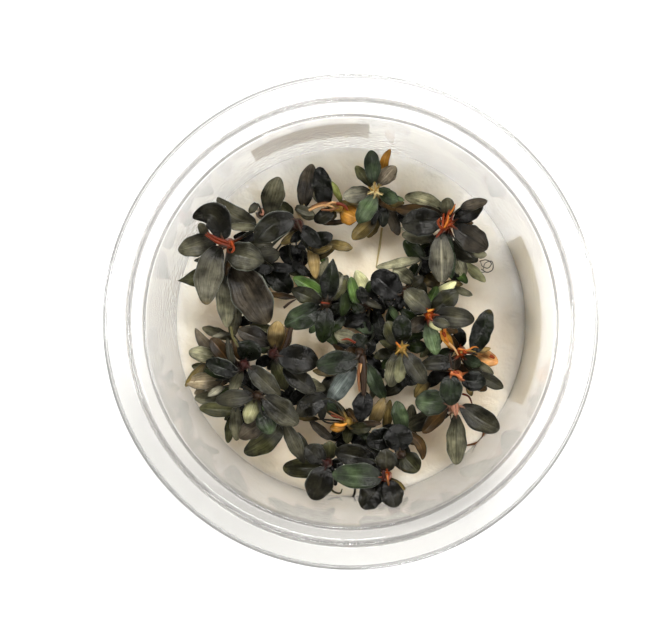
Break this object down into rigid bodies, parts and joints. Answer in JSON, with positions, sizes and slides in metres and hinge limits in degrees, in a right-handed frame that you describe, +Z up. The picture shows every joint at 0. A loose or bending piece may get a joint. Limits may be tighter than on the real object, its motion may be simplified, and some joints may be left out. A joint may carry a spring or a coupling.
{
  "type": "water plants in a round tissue culture cup",
  "caption": "Open round tapered culture cup with a wide flange, a disc of milky jelly and a crowd of small broad-leaved water plants with dark leaves and reddish stems.",
  "frame": {"origin": "middle of the underside of the cup, on the surface it stands on", "axes": "+Z up out of the open cup, +Y towards the top of the picture and the back label, +X towards the right label"},
  "size_m": [0.1, 0.1, 0.043],
  "materials": {
    "clear_plastic": "smooth clear to milky moulded plastic",
    "culture_gel": "wet translucent jelly",
    "label_paper": "plain paper seen from its glued side",
    "leaf_ash": "waxy leaf, satin",
    "leaf_bluegrey": "waxy leaf, satin",
    "leaf_ink": "waxy leaf, satin",
    "leaf_jade": "waxy leaf, satin",
    "leaf_mauve": "waxy leaf, satin",
    "leaf_moss": "waxy leaf, satin",
    "leaf_night": "waxy leaf, satin",
    "leaf_olive": "waxy leaf, satin",
    "leaf_silver": "waxy leaf, satin",
    "leaf_slate": "waxy leaf, satin",
    "leaf_stone": "waxy leaf, satin",
    "leaf_teal": "waxy leaf, satin",
    "stem_brown": "fleshy stem, satin",
    "stem_cream": "fleshy stem, satin",
    "stem_orange": "fleshy stem, satin",
    "stem_peach": "fleshy stem, satin",
    "stem_pink": "fleshy stem, satin",
    "stem_red": "fleshy stem, satin",
    "stem_yellow": "fleshy stem, satin"
  },
  "bodies": {
    "root": {"cup": "clear_plastic", "gel": "culture_gel", "label_back": "label_paper", "label_right": "label_paper", "leaf_centre_left_4": "leaf_teal", "leaf_centre_left_6": "leaf_moss", "leaf_centre_south_3": "leaf_bluegrey", "leaf_centre_south_7": "leaf_teal", "leaf_east_7": "leaf_moss", "leaf_inner_east_8": "leaf_ash", "leaf_inner_northeast_3": "leaf_ink", "leaf_inner_northwest_2": "leaf_night", "leaf_inner_northwest_7": "leaf_olive", "leaf_inner_west_7": "leaf_slate", "leaf_north_northwest_2": "leaf_ash", "leaf_northeast_14": "leaf_slate", "leaf_northeast_15": "leaf_mauve", "leaf_northeast_16": "leaf_silver", "leaf_northwest_10": "leaf_stone", "leaf_northwest_2": "leaf_stone", "leaf_northwest_5": "leaf_mauve", "leaf_northwest_6": "leaf_ash", "leaf_northwest_7": "leaf_ash", "leaf_northwest_8": "leaf_silver", "leaf_northwest_9": "leaf_slate", "leaf_south_1": "leaf_slate", "leaf_south_2": "leaf_slate", "leaf_south_5": "leaf_jade", "leaf_south_southwest_1": "leaf_olive", "leaf_south_southwest_4": "leaf_slate", "leaf_southeast_3": "leaf_stone", "leaf_southeast_4": "leaf_ash", "leaf_southeast_5": "leaf_jade", "leaf_southwest_12": "leaf_ash", "leaf_southwest_3": "leaf_olive", "leaf_southwest_8": "leaf_ash", "leaf_west_10": "leaf_ash", "stem_centre": "stem_brown", "stem_centre_left": "stem_brown", "stem_centre_south": "stem_brown", "stem_east": "stem_orange", "stem_east_southeast": "stem_peach", "stem_inner_east": "stem_orange", "stem_inner_northeast": "stem_brown", "stem_inner_northwest": "stem_red", "stem_inner_south": "stem_yellow", "stem_inner_southeast": "stem_yellow", "stem_inner_west": "stem_red", "stem_north": "stem_cream", "stem_north_northwest": "stem_brown", "stem_north_small": "stem_cream", "stem_north_yellow": "stem_yellow", "stem_northeast": "stem_orange", "stem_northwest": "stem_orange", "stem_south": "stem_orange", "stem_south_southeast": "stem_brown", "stem_south_southwest": "stem_red", "stem_southeast": "stem_pink", "stem_southwest": "stem_brown", "stem_west": "stem_red"}
  },
  "joints": []
}
